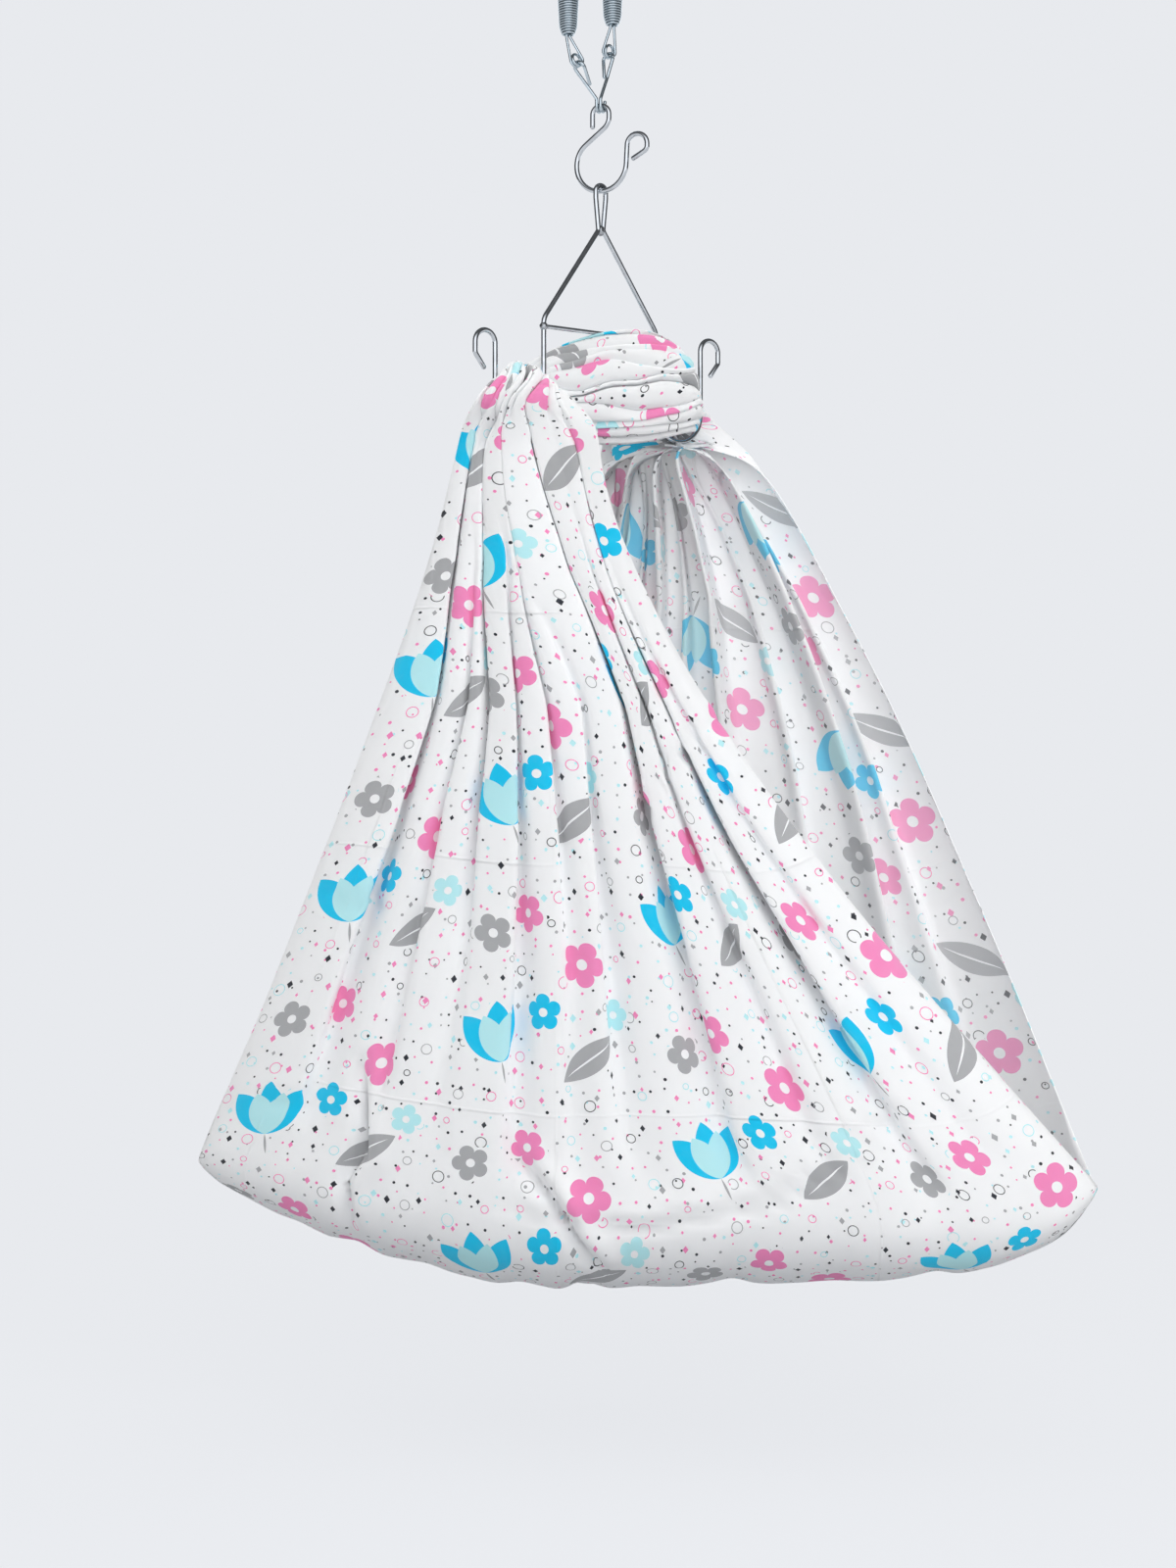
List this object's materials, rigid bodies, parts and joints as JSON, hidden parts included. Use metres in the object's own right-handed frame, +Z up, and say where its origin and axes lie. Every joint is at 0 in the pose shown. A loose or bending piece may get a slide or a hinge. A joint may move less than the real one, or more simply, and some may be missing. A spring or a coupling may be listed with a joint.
{
  "type": "hanging baby cradle",
  "caption": "Cloth sling cradle hung by an S-hook, extension springs, links and a bent steel hanger with hooks that hold the gathered cloth.",
  "frame": {"origin": "where the top S-hook's big bend bears on the hook or ring that holds the cradle up", "axes": "+Z up, +X to the right and +Y away from someone who faces the cradle as in the picture"},
  "size_m": [0.9141, 0.3027, 1.5532],
  "materials": {
    "chrome_wire": "bright plated steel wire",
    "zinc_wire": "zinc plated steel wire",
    "spring_wire": "zinc plated spring steel, satin",
    "printed_cotton": "white woven cotton with a small pastel print"
  },
  "bodies": {
    "root": {"top_s_hook": "chrome_wire"},
    "spring_pair": {"upper_left_swivel_eye": "zinc_wire", "upper_left_link": "zinc_wire", "upper_right_swivel_eye": "zinc_wire", "upper_right_link": "zinc_wire", "left_spring": "spring_wire", "right_spring": "spring_wire"},
    "lower_links": {"lower_left_swivel_eye": "zinc_wire", "lower_left_link": "zinc_wire", "lower_right_swivel_eye": "zinc_wire", "lower_right_link": "zinc_wire"},
    "lower_hook": {"lower_s_hook": "chrome_wire"},
    "hanger": {"hanger_rod": "chrome_wire", "hanger_crossbar": "chrome_wire", "cloth_band": "printed_cotton", "sling_front": "printed_cotton", "sling_back": "printed_cotton"}
  },
  "joints": [
    {"name": "swing", "type": "hinge", "parent": "root", "child": "spring_pair", "pos_m": [0, 0, -0.08445], "axis": [0.9063, 0.4226, 0], "range_deg": [-25, 25]},
    {"name": "bounce", "type": "slide", "parent": "spring_pair", "child": "lower_links", "axis": [0, 0, -1], "range_m": [0, 0.12], "stiffness_N_per_m": 800, "springref_m": -0.03, "deforming": ["left_spring", "right_spring"]},
    {"name": "hook_tilt", "type": "hinge", "parent": "lower_links", "child": "lower_hook", "pos_m": [0.0055, 0, -0.3502], "axis": [0.4226, 0.9063, 0], "range_deg": [-18, 18]},
    {"name": "hanger_swing", "type": "hinge", "parent": "lower_hook", "child": "hanger", "pos_m": [0.0055, 0, -0.4312], "axis": [0.9063, -0.4226, 0], "range_deg": [-25, 25]}
  ]
}
